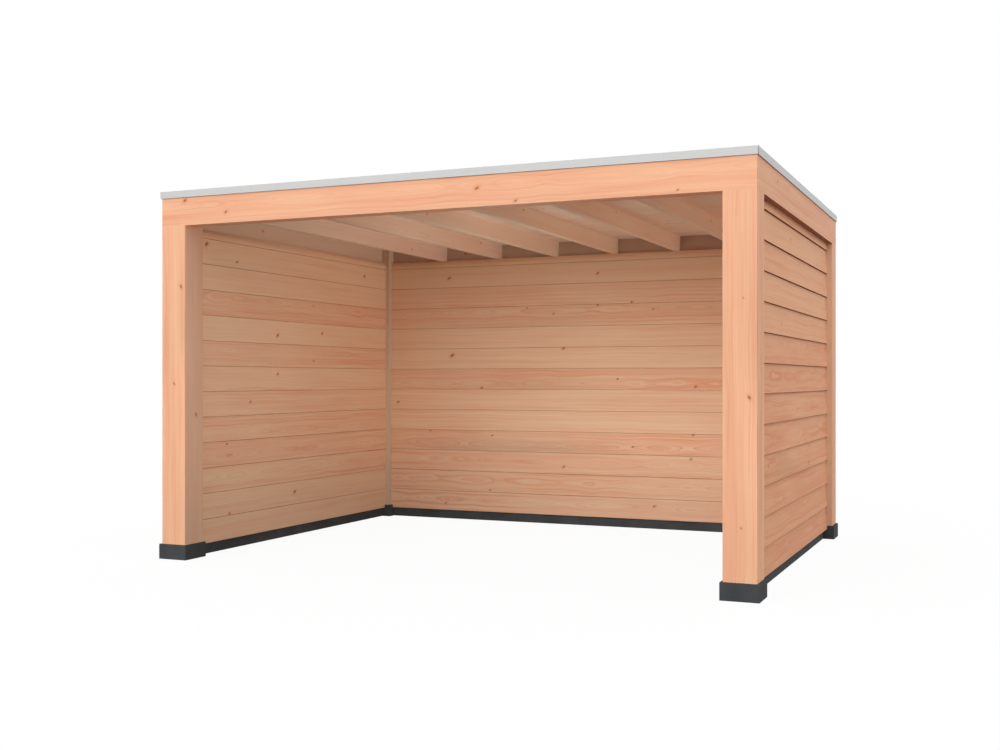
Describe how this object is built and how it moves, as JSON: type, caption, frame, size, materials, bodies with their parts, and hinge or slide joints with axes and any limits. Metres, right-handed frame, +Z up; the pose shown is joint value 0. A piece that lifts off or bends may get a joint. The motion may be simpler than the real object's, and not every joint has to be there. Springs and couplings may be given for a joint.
{
  "type": "wooden garden canopy",
  "caption": "Free-standing flat-roofed garden canopy of pale softwood: square posts on dark feet, ring beams, rafters, boarded side and rear walls, open front.",
  "frame": {"origin": "on the ground at the middle of the plan", "axes": "+X along the open front from left to right, +Y from the open front to the rear wall, +Z up"},
  "size_m": [4.03, 3.03, 2.47],
  "materials": {
    "timber": "planed softwood",
    "boards": "planed softwood boards",
    "roof_boards": "planed softwood boards",
    "framing": "sawn softwood",
    "anthracite_base": "matt anthracite",
    "membrane": "matt black sheet",
    "edge_trim": "plain satin"
  },
  "bodies": {
    "root": {"foot_front_left": "anthracite_base", "foot_front_right": "anthracite_base", "foot_rear_left": "anthracite_base", "foot_rear_right": "anthracite_base", "post_front_left": "timber", "post_front_right": "timber", "post_rear_left": "timber", "post_rear_right": "timber", "beam_front": "timber", "beam_right": "timber", "beam_rear": "timber", "beam_left": "timber", "rafter_1": "timber", "rafter_2": "timber", "rafter_3": "timber", "rafter_4": "timber", "rafter_5": "timber", "rafter_6": "timber", "plinth_right": "anthracite_base", "plinth_rear": "anthracite_base", "plinth_left": "anthracite_base", "plates_right": "framing", "plates_rear": "framing", "plates_left": "framing", "studs_right": "framing", "studs_rear": "framing", "studs_left": "framing", "weatherboards_right": "boards", "weatherboards_rear": "boards", "weatherboards_left": "boards", "inner_boards_right": "boards", "inner_boards_rear": "boards", "inner_boards_left": "boards", "roof_deck": "roof_boards", "roof_membrane": "membrane", "trim_front": "edge_trim", "trim_right": "edge_trim", "trim_rear": "edge_trim", "trim_left": "edge_trim"}
  },
  "joints": []
}
